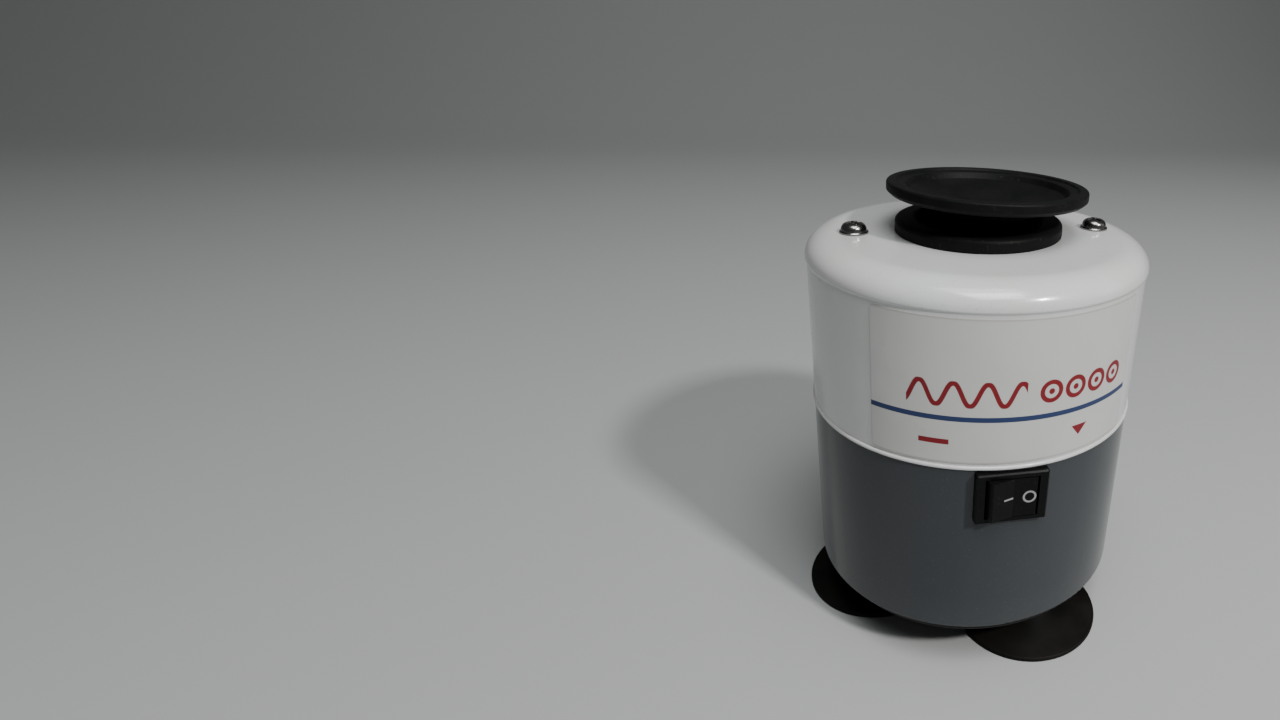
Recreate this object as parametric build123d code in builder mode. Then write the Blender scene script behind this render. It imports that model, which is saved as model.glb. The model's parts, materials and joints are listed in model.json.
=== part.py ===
"""Vortex mixer: a round bench mixer whose rubber cup orbits when it is switched on or pressed.

Millimetres, +Z up, the front (label and rocker switch) faces -Y.  The origin is on the motor's axis
at the level of the bench.  Everything below the cup is built outwards from a few driving sizes: the
casing's radius and heights, the orbit radius, and the sizes of the motor, switch, feet and cup.
"""

from math import cos, radians, sin, sqrt, tan
import os

from build123d import *

os.makedirs("parts", exist_ok=True)

# ------------------------------------------------------------------ driving dimensions
# Casing: a lower shell that stands on a base plate, and an upper cover that drops over its top.
body_r = 65.0  # outside radius of the casing
wall = 1.5  # sheet thickness of shell and cover
foot_h = 18.5  # from the bench to the underside of the base plate
base_t = 4.0  # base plate thickness
base_inset = 2.7  # the base plate is this much smaller in radius than the shell
shell_h = 73.0  # visible height of the lower shell
cover_h = 66.3  # visible height of the upper cover
lap_h = 9.0  # length of the shell's neck inside the cover
lap_gap = 0.1  # radial gap between that neck and the cover
shell_lip = 9.0  # width of the shell's turned-in bottom lip
shell_edge_r = 1.2  # rounding of the shell's bottom edge
hem_r = 0.8  # rolled bead round the cover's lower edge
hem_proud = 0.7  # how far the bead stands out from the wall
shoulder_h = 8.2  # height of the cover's rounded shoulder
shoulder_w = 11.6  # its width, in from the wall
shoulder_proud = 0.6  # how far the shoulder bulges past the wall below it
shoulder_step = 1.1  # height of the crease under the bulge

# Mixing head: an orbiting hub that carries the rubber cup.
orbit = 2.5  # radius of the orbit, the offset of the crank pin
cup_r = 38.0  # outside radius of the rubber cup
cup_rise = 17.7  # cup rim above the cover's flat top
cup_rim_w = 3.4  # width of the rounded rim
cup_rim_h = 4.6  # height of the rim's edge
cup_chamfer = 1.4  # slope under it
cup_edge_r = 0.9  # rounding of the rim's outer edge
cup_groove_d = 0.7  # fine step inside the rim
cup_groove_w = 0.4
cup_band_fall = 0.35  # fall of the band between that step and the bowl's wall
cup_wall_w = 1.2  # width of the bowl's steep wall
cup_step_r = 29.5  # radius where that wall meets the bowl
cup_step_d = 3.3  # depth there
cup_bowl_d = 8.0  # depth of the bowl at its centre
cup_floor = 2.6  # rubber under the bowl's centre
cup_flange_r = 20.5  # shoulder on the underside
cup_flange_d = 9.6  # depth of its lower face
cup_flange_t = 1.4  # height of its edge
neck_r = 16.8  # the cup's stem
neck_foot = 0.7  # its lower end above the lean's pivot
cup_lean = 1.85  # degrees, how much the soft cup leans
cup_lean_to = 40.0  # heading of the lean, degrees from +X
hub_r = 13.5  # bearing housing of the hub
spigot_r = 12.4  # the peg that the cup is pushed on
hub_collar_r = 16.2
hub_collar_h = 2.2
hub_roof_gap = 1.0  # above the crank pin
pivot_drop = 4.6  # the cup leans about a point this far below the cover's top
pin_r = 4.0  # crank pin
pin_proud = 2.4  # pin above the head bearing
pin_seat = 7.0  # pin length inside the eccentric
shaft_tip_gap = 1.0  # between the shaft's end and the pin's foot
skirt_r = 27.0  # splash skirt under the cover's opening
skirt_t = 1.6

# Rubber collar round the opening in the cover.
ring_r = 32.0
ring_h = 5.0
ring_land_r = 24.6  # inner edge of its flat top
ring_hole_r = 20.7  # must clear the orbiting stem
ring_web_t = 1.6
ring_edge_r = 1.8
ring_seat_r = 24.2  # plug that fills the cover's opening

# Head bearing, a deep-groove ball bearing of 8 x 22 x 7.
race_out_r = 11.0
race_w = 7.0
ball_r = 2.0
ball_count = 7
ball_gap = 0.03  # running clearance of the balls in their grooves
race_inner_rim = 6.0  # outside of the inner race
race_outer_rim = 9.0  # inside of the outer race
race_land = 0.5  # the hub's shoulder covers the outer race down to this far inside its rim
cage_w = 1.8  # radial width of the ball cage
cage_low = 1.0
cage_high = 2.8
bearing_drop = 11.8  # top of the bearing below the cover's top
housing_drop = 1.5  # the hub's skirt below the bearing

# Eccentric with its counterweight.
ecc_hub_r = 10.0
ecc_hub_h = 12.0
ecc_gap = 5.0  # spacer between the eccentric and the bearing
weight_r = 24.0
weight_h = 8.0
weight_half_angle = 75.0
setscrew_r = 1.5
setscrew_sink = 0.8  # its end below the hub's surface
setscrew_hex_d = 1.5
clip_t = 0.9  # retaining clip on the crank pin
clip_groove_d = 0.5
race_shoulder = 0.4  # spacer and clip stay this much inside the inner race's rim

# Motor: four-pole stator, squirrel-cage rotor, two end brackets with sleeve bearings.
shaft_r = 4.0
run_gap = 0.03  # running clearance of shafts and pins
stator_half = 30.0  # half of the square lamination
stator_corner = 6.0
stator_h = 30.0
stator_window_r = 25.0
stator_bore_r = 15.3
rotor_r = 15.0
pole_count = 4
pole_w = 9.0
pole_shoe_t = 3.2
pole_slot = 4.0  # gap between neighbouring pole shoes
coil_t = 4.0  # thickness of each winding
coil_gap = 0.3
cage_ring_t = 3.5
cage_ring_r = 9.2
rotor_bar_r = 1.3
rotor_bar_count = 14
rotor_bar_circle = 12.4
bolt_r = 2.0  # through bolts and other M4 screws
bolt_in = 5.0  # bolts in from the lamination's edge
leg_r = 4.0  # bracket legs round the bolts
leg_h = 13.0
bracket_lift = 1.5  # the lower bracket is this much taller than the upper one
arm_w = 7.0
arm_t = 4.0
boss_r = 8.0
bush_r = 6.2
boss_h = 9.5
boss_clear = 1.0  # between a boss and the rotor's end ring
pad_r = 3.5
pad_t = 1.6
end_play = 0.2
fan_r = 28.0
fan_h = 8.0
fan_disc_t = 1.6
fan_hub_r = 7.0
fan_blade_t = 1.2
fan_blades = 8
fan_gap = 1.2

# Carriage: the motor's plate slides down three posts when the cup is pressed.
press_travel = 2.0
spring_space = 18.0  # base plate to carriage plate
plate_t = 3.0
plate_r = 44.0
ear_r = 8.0
post_in = 15.0  # posts in from the casing's outside
post_r = 3.0
post_angles = (30.0, 150.0, 270.0)
slide_gap = 0.06
guide_r = 5.0
guide_above = 5.0
guide_below = 1.2
guide_flange_r = 7.0
stop_nut_r = 6.2
stop_gap = 0.3
spring_r = 4.9
spring_wire_r = 0.7
spring_turns = 4
spring_gap = 0.15
pillar_gap = 2.0

# Fasteners.
nut_h = 3.2
thread_tail = 1.0  # thread that stands out of a nut
edge_break = 0.5  # chamfer on turned and moulded edges
nut_r = 4.0  # across corners
head_r = 3.6
head_h = 2.6
washer_t = 0.9
washer_r = 5.4
cover_screw_in = 17.7  # cover screws in from the casing's outside
cover_head_r = 4.8
cover_head_h = 3.1
cover_screw_len = 12.0
cross_w = 1.2
cross_len = 6.0
cross_d = 1.9
screw_gap = 0.2
pillar_r = 4.0
base_screw_r = 1.5
base_screw_in = 6.8
base_screw_angles = (0.0, 120.0, 240.0)
base_head_r = 2.5
base_head_h = 1.7
base_head_sink = 0.3  # heads lie this deep in the plate

# Suction feet.
foot_circle_r = 41.0
foot_angles = {"foot_left": 180.0, "foot_front": -60.0, "foot_rear": 60.0}
foot_r = 30.5
foot_lip_w = 2.6
foot_lip_t = 1.6
foot_hollow = 3.8
foot_boss_r = 8.5
foot_boss_h = 5.0
stud_r = 3.0
stud_head_r = 5.5
stud_head_h = 2.0
stud_head_drop = 5.0  # the stud's head below the foot's top
foot_washer_r = 7.0
foot_washer_t = 0.8

# Label on the front of the cover.
label_half_angle = 45.5
label_low = 2.7  # above the seam
label_top = 55.6
label_t = 0.25
label_corner = 1.5

# Rocker switch.
switch_w = 26.4
switch_h = 20.5
switch_proud = 2.0
switch_drop = 10.7  # switch centre below the seam
switch_corner = 0.8
bezel_depth = 4.0  # solid behind the bezel, cut back to the shell's curve
rocker_w = 19.6  # opening in the bezel
rocker_h = 16.5
rocker_gap = 0.3
rocker_swing = 18.0  # degrees between its two positions
rocker_pivot = 3.0  # pivot behind the bezel's face
rocker_pin_r = 1.0
pin_end_gap = 0.2  # the pin's ends inside the housing's outline
rocker_hub_r = 2.6
rocker_belly = 1.5
housing_wall = 0.9
housing_depth = 15.0
housing_cavity = 9.0
cutout_gap = 0.1
blade_w = 4.8
blade_t = 0.8
blade_len = 7.0
blade_pitch = 6.5

# Touch-mode microswitch under the carriage.
micro_l = 20.0
micro_t = 6.4
micro_h = 10.2
micro_y = -12.0
plunger_r = 1.4
plunger_gap = 0.3
plunger_guide = 0.05
plunger_reserve = 1.0  # plunger still above the switch when pressed
plunger_root = 2.0  # plunger inside the switch at rest
plunger_well = 2.5
plunger_tip_r = 0.6
micro_bracket_t = 1.5
micro_bracket_foot = 9.0

# Electrical pieces on the base plate.
cap_r = 6.6
cap_l = 30.0
cap_edge_r = 0.8
cap_y = 27.0
strap_w = 8.0
strap_t = 0.8
strap_foot = 8.0
block_l = 22.0
block_w = 12.0
block_h = 9.0
block_at = (-24.0, -22.0)
block_way_r = 1.6
block_ways = 3
block_screw_d = 4.0

# Cable gland in the back of the shell.
gland_rise = 15.0
gland_bore_r = 3.3
gland_r = 6.5
gland_flange_r = 8.6
gland_flange_t = 2.2
gland_nose = 5.5
gland_nose_r = 5.6
gland_edge_r = 1.4
gland_in = 9.0
gland_nut_t = 3.0
gland_nut_r = 9.6

# ------------------------------------------------------------------ levels and places
base_z = foot_h
shell_z = base_z + base_t
seam_z = shell_z + shell_h
top_z = seam_z + cover_h
inner_r = body_r - wall
ceiling_z = top_z - wall

carriage_z = shell_z + spring_space
deck_z = carriage_z + plate_t
stator_z = deck_z + leg_h + bracket_lift
stator_top_z = stator_z + stator_h
bolt_xy = stator_half - bolt_in
lower_boss_top = stator_z - cage_ring_t - boss_clear
upper_boss_z = stator_top_z + cage_ring_t + boss_clear
upper_deck_z = stator_top_z + leg_h
shaft_foot_z = deck_z + pad_t + end_play
fan_z = max(upper_boss_z + boss_h, upper_deck_z + nut_h) + fan_gap

bearing_top = top_z - bearing_drop
bearing_z = bearing_top - race_w
ecc_top = bearing_z - ecc_gap
ecc_z = ecc_top - ecc_hub_h
pin_foot_z = ecc_top - pin_seat
housing_z = bearing_z - housing_drop
pivot_z = top_z - pivot_drop
collar_z = pivot_z - hub_collar_h
skirt_z = collar_z - skirt_t
rim_local = top_z + cup_rise - pivot_z
spigot_top = rim_local - cup_bowl_d - cup_floor

screw_x = body_r - cover_screw_in
post_circle_r = body_r - post_in
base_screw_circle = body_r - base_screw_in
switch_z = seam_z - switch_drop
switch_face = -(body_r + switch_proud)
gland_z = shell_z + gland_rise

pin_axis = Plane(origin=(orbit, 0, 0), x_dir=(1, 0, 0), z_dir=(0, -1, 0))
lean = radians(cup_lean)
heading = radians(cup_lean_to)
cup_up = (sin(lean) * cos(heading), sin(lean) * sin(heading), cos(lean))
cup_seat = Plane(origin=(orbit, 0, pivot_z), x_dir=(cup_up[2], 0, -cup_up[0]), z_dir=cup_up)
cup_section = Plane(origin=cup_seat.origin, x_dir=cup_seat.x_dir, z_dir=-cup_seat.y_dir)
cup_axis = Axis(cup_seat.origin, cup_seat.z_dir)
crank_axis = Axis((orbit, 0, 0), (0, 0, 1))
switch_plane = Plane(origin=(0, switch_face, switch_z), x_dir=(1, 0, 0), z_dir=(0, -1, 0))
gland_plane = Plane(origin=(0, body_r, gland_z), x_dir=(-1, 0, 0), z_dir=(0, 1, 0))
UP = (Align.CENTER, Align.CENTER, Align.MIN)


def save(builder, name):
    """Label a finished piece and write it as parts/name.step."""
    builder.part.label = name
    export_step(builder.part, f"parts/{name}.step")


# ------------------------------------------------------------------ casing
# Upper cover: thin wall, rolled hem, a crease under a bulging elliptical shoulder, flat top.
shoulder_z = top_z - shoulder_h
shoulder_r = body_r + shoulder_proud
shoulder_cx = shoulder_r - shoulder_w
with BuildPart() as upper_cover:
    with BuildSketch(Plane.XZ):
        with BuildLine():
            Polyline(
                (inner_r, seam_z),
                (body_r, seam_z),
                (body_r, shoulder_z - shoulder_step),
                (body_r + shoulder_proud * 0.75, shoulder_z - shoulder_step * 0.5),
                (shoulder_r, shoulder_z),
            )
            EllipticalCenterArc((shoulder_cx, shoulder_z), shoulder_w, shoulder_h, start_angle=0, arc_size=90)
            Polyline(
                (shoulder_cx, top_z),
                (ring_seat_r + screw_gap, top_z),
                (ring_seat_r + screw_gap, ceiling_z),
                (shoulder_cx, ceiling_z),
            )
            EllipticalCenterArc(
                (shoulder_cx, shoulder_z),
                shoulder_w - wall - shoulder_proud,
                shoulder_h - wall,
                start_angle=0,
                arc_size=90,
            )
            Line((inner_r, shoulder_z), (inner_r, seam_z))
        make_face()
        with Locations((body_r + hem_proud - hem_r, seam_z + hem_r)):
            Circle(hem_r)
    revolve(axis=Axis.Z)
    with Locations((screw_x, 0, ceiling_z), (-screw_x, 0, ceiling_z)):
        Cylinder(bolt_r + screw_gap, wall, align=UP, mode=Mode.SUBTRACT)
save(upper_cover, "upper_cover")

# Lower shell: drawn can with a turned-in bottom lip and a joggled neck that the cover laps.
neck_out = inner_r - lap_gap
neck_in = neck_out - wall
with BuildPart() as lower_shell:
    with BuildSketch(Plane.XZ):
        with BuildLine():
            Polyline(
                (body_r - shell_lip, shell_z),
                (body_r, shell_z),
                (body_r, seam_z),
                (neck_out, seam_z),
                (neck_out, seam_z + lap_h),
                (neck_in, seam_z + lap_h),
                (neck_in, seam_z - wall),
                (inner_r, seam_z - 2 * wall),
                (inner_r, shell_z + wall),
                (body_r - shell_lip, shell_z + wall),
                close=True,
            )
        make_face()
    revolve(axis=Axis.Z)
    bottom_edge = lower_shell.edges().filter_by(GeomType.CIRCLE).group_by(Axis.Z)[0].sort_by(SortBy.RADIUS)[-1]
    fillet(bottom_edge, shell_edge_r)
    with BuildSketch(Plane(origin=(0, 0, switch_z), x_dir=(1, 0, 0), z_dir=(0, -1, 0))):
        Rectangle(rocker_w + 2 * (housing_wall + cutout_gap), rocker_h + 2 * (housing_wall + cutout_gap))
    extrude(amount=body_r + wall, mode=Mode.SUBTRACT)
    with BuildSketch(Plane(origin=(0, 0, gland_z), x_dir=(-1, 0, 0), z_dir=(0, 1, 0))):
        Circle(gland_r + screw_gap)
    extrude(amount=body_r + wall, mode=Mode.SUBTRACT)
    with BuildSketch(Plane.XY.offset(shell_z)):
        for angle in base_screw_angles:
            with PolarLocations(base_screw_circle, 1, start_angle=angle):
                Circle(base_screw_r)
    extrude(amount=wall, mode=Mode.SUBTRACT)
save(lower_shell, "lower_shell")

# Base plate: carries the feet, the tie pillars, the guide posts and the electrical pieces.
with BuildPart() as base_plate:
    with BuildSketch(Plane.XY.offset(base_z)):
        Circle(body_r - base_inset)
    extrude(amount=base_t)
    fillet(base_plate.edges().group_by(Axis.Z)[0], shell_edge_r)
    with BuildSketch(Plane.XY.offset(base_z)):
        for angle in foot_angles.values():
            with PolarLocations(foot_circle_r, 1, start_angle=angle):
                Circle(stud_r)
        for angle in base_screw_angles:
            with PolarLocations(base_screw_circle, 1, start_angle=angle):
                Circle(base_screw_r + screw_gap)
        for angle in post_angles:
            with PolarLocations(post_circle_r, 1, start_angle=angle):
                Circle(bolt_r)
        with Locations((screw_x, 0), (-screw_x, 0)):
            Circle(bolt_r)
    extrude(amount=base_t, mode=Mode.SUBTRACT)
    with BuildSketch(Plane.XY.offset(base_z)):
        for angle in base_screw_angles:
            with PolarLocations(base_screw_circle, 1, start_angle=angle):
                Circle(base_head_r + screw_gap)
    extrude(amount=base_head_sink + base_head_h, mode=Mode.SUBTRACT)
save(base_plate, "base_plate")

# Base screws: from below, their heads sunk in the plate, up into the shell's lip.
with BuildPart() as base_screws:
    for angle in base_screw_angles:
        with BuildSketch(Plane.XY.offset(base_z + base_head_sink)):
            with PolarLocations(base_screw_circle, 1, start_angle=angle):
                Circle(base_head_r)
        extrude(amount=base_head_h)
        with BuildSketch(Plane.XY.offset(base_z + base_head_sink + base_head_h)):
            with PolarLocations(base_screw_circle, 1, start_angle=angle):
                Circle(base_screw_r)
        extrude(amount=base_t - base_head_sink - base_head_h + wall)
    lower_rims = base_screws.edges().filter_by(GeomType.CIRCLE).group_by(Axis.Z)[0]
    fillet(lower_rims, base_head_h * 0.5)
save(base_screws, "base_screws")

# Tie pillars: hexagonal standoffs screwed into the base plate, tapped for the cover screws.
with BuildPart() as tie_pillars:
    with BuildSketch(Plane.XY.offset(shell_z)):
        with Locations((screw_x, 0), (-screw_x, 0)):
            RegularPolygon(pillar_r, 6)
    extrude(amount=ceiling_z - shell_z)
    with BuildSketch(Plane.XY.offset(base_z)):
        with Locations((screw_x, 0), (-screw_x, 0)):
            Circle(bolt_r)
    extrude(amount=base_t)
    with BuildSketch(Plane.XY.offset(ceiling_z)):
        with Locations((screw_x, 0), (-screw_x, 0)):
            Circle(bolt_r)
    extrude(amount=wall - cover_screw_len, mode=Mode.SUBTRACT)
save(tie_pillars, "tie_pillars")

# Cover screws: domed heads with a cross recess, standing on plain washers.
head_z = top_z + washer_t
dome_r = (cover_head_r**2 + cover_head_h**2) / (2 * cover_head_h)
with BuildPart() as cover_washers:
    with BuildSketch(Plane.XY.offset(top_z)):
        with Locations((screw_x, 0), (-screw_x, 0)):
            Circle(washer_r)
            Circle(bolt_r + screw_gap, mode=Mode.SUBTRACT)
    extrude(amount=washer_t)
    top_rims = cover_washers.edges().filter_by(GeomType.CIRCLE).group_by(Axis.Z)[-1]
    chamfer(top_rims.group_by(SortBy.RADIUS)[-1], washer_t * 0.35)
save(cover_washers, "cover_washers")

with BuildPart() as cover_screws:
    for side in (-1, 1):
        with BuildSketch(Plane(origin=(side * screw_x, 0, head_z), x_dir=(1, 0, 0), z_dir=(0, -1, 0))):
            with BuildLine():
                Line((0, cover_head_h), (0, -cover_screw_len + washer_t))
                Line((0, -cover_screw_len + washer_t), (bolt_r, -cover_screw_len + washer_t))
                Line((bolt_r, -cover_screw_len + washer_t), (bolt_r, 0))
                Line((bolt_r, 0), (cover_head_r, 0))
                RadiusArc((cover_head_r, 0), (0, cover_head_h), -dome_r)
            make_face()
        revolve(axis=Axis((side * screw_x, 0, 0), (0, 0, 1)))
    with BuildSketch(Plane.XY.offset(head_z + cover_head_h)):
        with Locations((screw_x, 0), (-screw_x, 0)):
            Rectangle(cross_len, cross_w, rotation=25)
            Rectangle(cross_len, cross_w, rotation=115)
    extrude(amount=-cross_d, taper=8, mode=Mode.SUBTRACT)
save(cover_screws, "cover_screws")

# Support ring: the stationary rubber collar that fills the opening round the orbiting stem.
with BuildPart() as support_ring:
    with BuildSketch(Plane.XZ):
        with BuildLine():
            Polyline(
                (ring_seat_r, ceiling_z),
                (ring_seat_r, top_z),
                (ring_r, top_z),
                (ring_r, top_z + ring_h),
                (ring_land_r, top_z + ring_h),
                (ring_land_r - ring_web_t, top_z + ring_web_t),
                (ring_hole_r, top_z + ring_web_t),
                (ring_hole_r, ceiling_z),
                close=True,
            )
        make_face()
    revolve(axis=Axis.Z)
    ring_rims = support_ring.edges().filter_by(GeomType.CIRCLE).group_by(Axis.Z)[-1].sort_by(SortBy.RADIUS)
    fillet(ring_rims[-1], ring_edge_r)
    fillet(ring_rims[0], ring_edge_r * 0.4)
save(support_ring, "support_ring")

# Label: a thin printed panel bent round the front of the cover, with rounded corners.
label_h = label_top - label_low
label_w = 2 * body_r * sin(radians(label_half_angle))
with BuildPart() as label_panel:
    with BuildSketch(Plane.XY.offset(seam_z + label_low)):
        Circle(body_r + label_t)
        Circle(body_r, mode=Mode.SUBTRACT)
    extrude(amount=label_h)
    with BuildSketch(Plane(origin=(0, 0, seam_z + label_low + label_h / 2), x_dir=(1, 0, 0), z_dir=(0, -1, 0))):
        RectangleRounded(label_w, label_h, label_corner)
    extrude(amount=2 * body_r, mode=Mode.INTERSECT)
save(label_panel, "label_panel")

# ------------------------------------------------------------------ feet
# Suction feet: a domed rubber cup with a moulded-in stud that screws into the base plate.
foot_top = base_z - foot_washer_t
stud_head_z = foot_top - stud_head_drop
for foot_name, angle in foot_angles.items():
    foot_x = foot_circle_r * cos(radians(angle))
    foot_y = foot_circle_r * sin(radians(angle))
    with BuildPart() as foot:
        with BuildSketch(Plane(origin=(foot_x, foot_y, 0), x_dir=(1, 0, 0), z_dir=(0, -1, 0))):
            with BuildLine():
                Polyline((foot_r - foot_lip_w, 0), (foot_r, 0), (foot_r, foot_lip_t))
                Spline(
                    (foot_r, foot_lip_t),
                    (foot_r * 0.62, foot_top * 0.42),
                    (foot_boss_r, foot_top - foot_boss_h),
                    tangents=[(-1, 0.18), (-0.35, 1)],
                )
                Polyline(
                    (foot_boss_r, foot_top - foot_boss_h),
                    (foot_boss_r, foot_top),
                    (stud_r, foot_top),
                    (stud_r, stud_head_z),
                    (stud_head_r, stud_head_z),
                    (stud_head_r, stud_head_z - stud_head_h),
                    (0, stud_head_z - stud_head_h),
                    (0, foot_hollow),
                )
                Spline((0, foot_hollow), (foot_r - foot_lip_w, 0), tangents=[(1, 0), (1, -0.35)])
            make_face()
        revolve(axis=Axis((foot_x, foot_y, 0), (0, 0, 1)))
    save(foot, foot_name)

with BuildPart() as foot_studs:
    for angle in foot_angles.values():
        with BuildSketch(Plane.XY.offset(stud_head_z - stud_head_h)):
            with PolarLocations(foot_circle_r, 1, start_angle=angle):
                Circle(stud_head_r)
        extrude(amount=stud_head_h)
        with BuildSketch(Plane.XY.offset(stud_head_z)):
            with PolarLocations(foot_circle_r, 1, start_angle=angle):
                Circle(stud_r)
        extrude(amount=shell_z - stud_head_z)
save(foot_studs, "foot_studs")

with BuildPart() as foot_washers:
    with BuildSketch(Plane.XY.offset(foot_top)):
        for angle in foot_angles.values():
            with PolarLocations(foot_circle_r, 1, start_angle=angle):
                Circle(foot_washer_r)
                Circle(stud_r, mode=Mode.SUBTRACT)
    extrude(amount=foot_washer_t)
save(foot_washers, "foot_washers")

# ------------------------------------------------------------------ carriage and its guides
# Guide posts: shouldered pins riveted into the base plate; a nut on each stops the carriage.
guide_top = deck_z + guide_above
stop_z = guide_top + stop_gap
with BuildPart() as guide_posts:
    for angle in post_angles:
        with BuildSketch(Plane.XY.offset(base_z)):
            with PolarLocations(post_circle_r, 1, start_angle=angle):
                Circle(bolt_r)
        extrude(amount=base_t)
        with BuildSketch(Plane.XY.offset(shell_z)):
            with PolarLocations(post_circle_r, 1, start_angle=angle):
                Circle(post_r)
        extrude(amount=stop_z + nut_h + thread_tail - shell_z)
save(guide_posts, "guide_posts")

with BuildPart() as stop_nuts:
    with BuildSketch(Plane.XY.offset(stop_z)):
        for angle in post_angles:
            with PolarLocations(post_circle_r, 1, start_angle=angle):
                RegularPolygon(stop_nut_r, 6)
                Circle(post_r, mode=Mode.SUBTRACT)
    extrude(amount=nut_h)
save(stop_nuts, "stop_nuts")

# Return springs: one helical spring round each post, between base plate and guide bush.
spring_low = shell_z + spring_wire_r + spring_gap
spring_high = carriage_z - guide_below - spring_wire_r - spring_gap
spring_parts = []
for angle in post_angles:
    spring_x = post_circle_r * cos(radians(angle))
    spring_y = post_circle_r * sin(radians(angle))
    with BuildPart() as spring:
        with BuildLine():
            coil = Helix(
                pitch=(spring_high - spring_low) / spring_turns,
                height=spring_high - spring_low,
                radius=spring_r,
                center=(spring_x, spring_y, spring_low),
            )
        with BuildSketch(Plane(origin=coil @ 0, z_dir=coil % 0)):
            Circle(spring_wire_r)
        sweep(path=coil, is_frenet=True)
    spring_parts.append(spring.part)
with BuildPart() as return_springs:
    add(spring_parts)
save(return_springs, "return_springs")

# Motor plate: a disc with three ears for the guides and notches that clear the tie pillars.
with BuildPart() as motor_plate:
    with BuildSketch(Plane.XY.offset(carriage_z)):
        Circle(plate_r)
        for angle in post_angles:
            with PolarLocations(post_circle_r, 1, start_angle=angle):
                Circle(ear_r)
            with PolarLocations(post_circle_r / 2, 1, start_angle=angle):
                Rectangle(post_circle_r, 2 * ear_r)
        with Locations((screw_x, 0), (-screw_x, 0)):
            Circle(pillar_r + pillar_gap, mode=Mode.SUBTRACT)
        for angle in post_angles:
            with PolarLocations(post_circle_r, 1, start_angle=angle):
                Circle(guide_r, mode=Mode.SUBTRACT)
        with GridLocations(2 * bolt_xy, 2 * bolt_xy, 2, 2):
            Circle(bolt_r, mode=Mode.SUBTRACT)
    extrude(amount=plate_t)
save(motor_plate, "motor_plate")

# Guide bushes: flanged plastic sleeves pressed into the plate's ears.
with BuildPart() as guide_bushes:
    for angle in post_angles:
        with BuildSketch(Plane.XY.offset(carriage_z - guide_below)):
            with PolarLocations(post_circle_r, 1, start_angle=angle):
                Circle(guide_flange_r)
        extrude(amount=guide_below)
        with BuildSketch(Plane.XY.offset(carriage_z)):
            with PolarLocations(post_circle_r, 1, start_angle=angle):
                Circle(guide_r)
        extrude(amount=guide_top - carriage_z)
        with BuildSketch(Plane.XY.offset(carriage_z - guide_below)):
            with PolarLocations(post_circle_r, 1, start_angle=angle):
                Circle(post_r + slide_gap)
        extrude(amount=guide_top - carriage_z + guide_below, mode=Mode.SUBTRACT)
save(guide_bushes, "guide_bushes")

# ------------------------------------------------------------------ motor, stationary half
# Stator core: square laminations with four poles and pole shoes round the rotor.
shoe_out = stator_bore_r + pole_shoe_t
with BuildPart() as stator_core:
    with BuildSketch(Plane.XY.offset(stator_z)):
        RectangleRounded(2 * stator_half, 2 * stator_half, stator_corner)
        Circle(stator_window_r, mode=Mode.SUBTRACT)
        Circle(shoe_out)
        with PolarLocations((shoe_out + stator_window_r) / 2, pole_count):
            Rectangle(stator_window_r - shoe_out + 2 * pole_shoe_t, pole_w)
        with PolarLocations(shoe_out - pole_shoe_t / 2, pole_count, start_angle=180 / pole_count):
            Rectangle(2 * pole_shoe_t, pole_slot, mode=Mode.SUBTRACT)
        Circle(stator_bore_r, mode=Mode.SUBTRACT)
        with GridLocations(2 * bolt_xy, 2 * bolt_xy, 2, 2):
            Circle(bolt_r + screw_gap, mode=Mode.SUBTRACT)
    extrude(amount=stator_h)
save(stator_core, "stator_core")

# Stator coils: one rounded winding round each pole, with its end turns past the laminations.
coil_in = shoe_out + coil_gap
coil_half_w = pole_w / 2 + coil_gap + coil_t
coil_out = sqrt((stator_window_r - coil_gap) ** 2 - coil_half_w**2)
with BuildPart() as stator_coils:
    for pole in range(pole_count):
        turn = radians(360 / pole_count * pole)
        outward = (cos(turn), sin(turn), 0)
        start = (coil_in * cos(turn), coil_in * sin(turn), stator_z + stator_h / 2)
        with BuildSketch(Plane(origin=start, x_dir=(-sin(turn), cos(turn), 0), z_dir=outward)):
            RectangleRounded(2 * coil_half_w, stator_h + 2 * (coil_gap + coil_t), coil_t)
            Rectangle(pole_w + 2 * coil_gap, stator_h + 2 * coil_gap, mode=Mode.SUBTRACT)
        extrude(amount=coil_out - coil_in)
save(stator_coils, "stator_coils")

# End brackets: cross-shaped castings with legs round the bolts and a boss for the bush.
leg_foot = deck_z
with BuildPart() as lower_bracket:
    with BuildSketch(Plane.XY.offset(leg_foot)):
        with GridLocations(2 * bolt_xy, 2 * bolt_xy, 2, 2):
            Circle(leg_r)
    extrude(amount=stator_z - leg_foot)
    with BuildSketch(Plane.XY.offset(lower_boss_top - boss_h)):
        Circle(boss_r)
    extrude(amount=boss_h)
    with BuildSketch(Plane.XY.offset(lower_boss_top - boss_h)):
        Rectangle(2 * sqrt(2) * bolt_xy, arm_w, rotation=45)
        Rectangle(2 * sqrt(2) * bolt_xy, arm_w, rotation=135)
    extrude(amount=arm_t)
    with BuildSketch(Plane.XY.offset(leg_foot)):
        with GridLocations(2 * bolt_xy, 2 * bolt_xy, 2, 2):
            Circle(bolt_r + screw_gap)
        Circle(bush_r)
    extrude(amount=stator_z - leg_foot, mode=Mode.SUBTRACT)
save(lower_bracket, "lower_bracket")

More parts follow.
